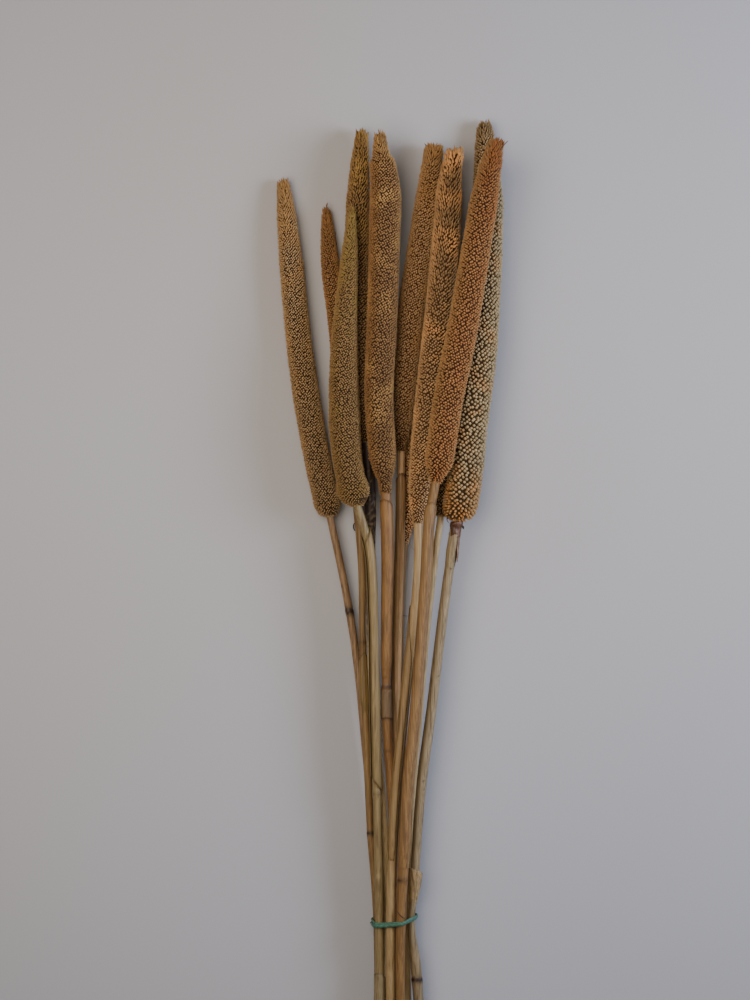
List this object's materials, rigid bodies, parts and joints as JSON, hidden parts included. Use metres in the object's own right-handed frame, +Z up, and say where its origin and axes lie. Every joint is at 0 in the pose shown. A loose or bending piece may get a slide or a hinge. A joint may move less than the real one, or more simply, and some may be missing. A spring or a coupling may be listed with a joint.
{
  "type": "bunch of dried millet heads",
  "caption": "Tied bunch of dried pearl millet seed heads on long straw stems, lying flat for decoration.",
  "frame": {"origin": "centre of the bounding box's base, on the floor that the bunch lies on", "axes": "+Z up from the floor, +Y along the stems towards the heads' tips, +X across the bunch to the right seen from above"},
  "size_m": [0.1705, 0.7, 0.0647],
  "materials": {
    "grain_tan": "dry seed head, rough and matt",
    "grain_rust": "dry seed head, rough and matt",
    "grain_olive": "dry seed head, rough and matt",
    "grain_brown": "dry seed head, rough and matt",
    "straw_tan": "dry straw, satin",
    "straw_olive": "dry straw, satin",
    "straw_brown": "dry straw, satin",
    "sheath_straw": "dry leaf sheath, satin",
    "teal_rubber": "stretched rubber band, slightly glossy"
  },
  "bodies": {
    "root": {"head_1": "grain_tan", "stem_1": "straw_brown", "head_2": "grain_rust", "stem_2": "straw_olive", "head_3": "grain_olive", "stem_3": "straw_olive", "head_4": "grain_brown", "stem_4": "straw_olive", "head_5": "grain_tan", "stem_5": "straw_tan", "head_6": "grain_brown", "stem_6": "straw_brown", "head_7": "grain_tan", "stem_7": "straw_tan", "head_8": "grain_olive", "stem_8": "straw_olive", "head_9": "grain_rust", "stem_9": "straw_tan", "head_10": "grain_brown", "stem_10": "straw_tan", "head_11": "grain_brown", "stem_11": "straw_olive", "sheath_2": "sheath_straw", "sheath_3": "sheath_straw", "sheath_3_low": "sheath_straw", "sheath_5": "sheath_straw", "sheath_6": "sheath_straw", "sheath_7": "sheath_straw", "sheath_8": "sheath_straw", "sheath_8_high": "sheath_straw", "sheath_9": "sheath_straw", "rubber_band": "teal_rubber"}
  },
  "joints": []
}
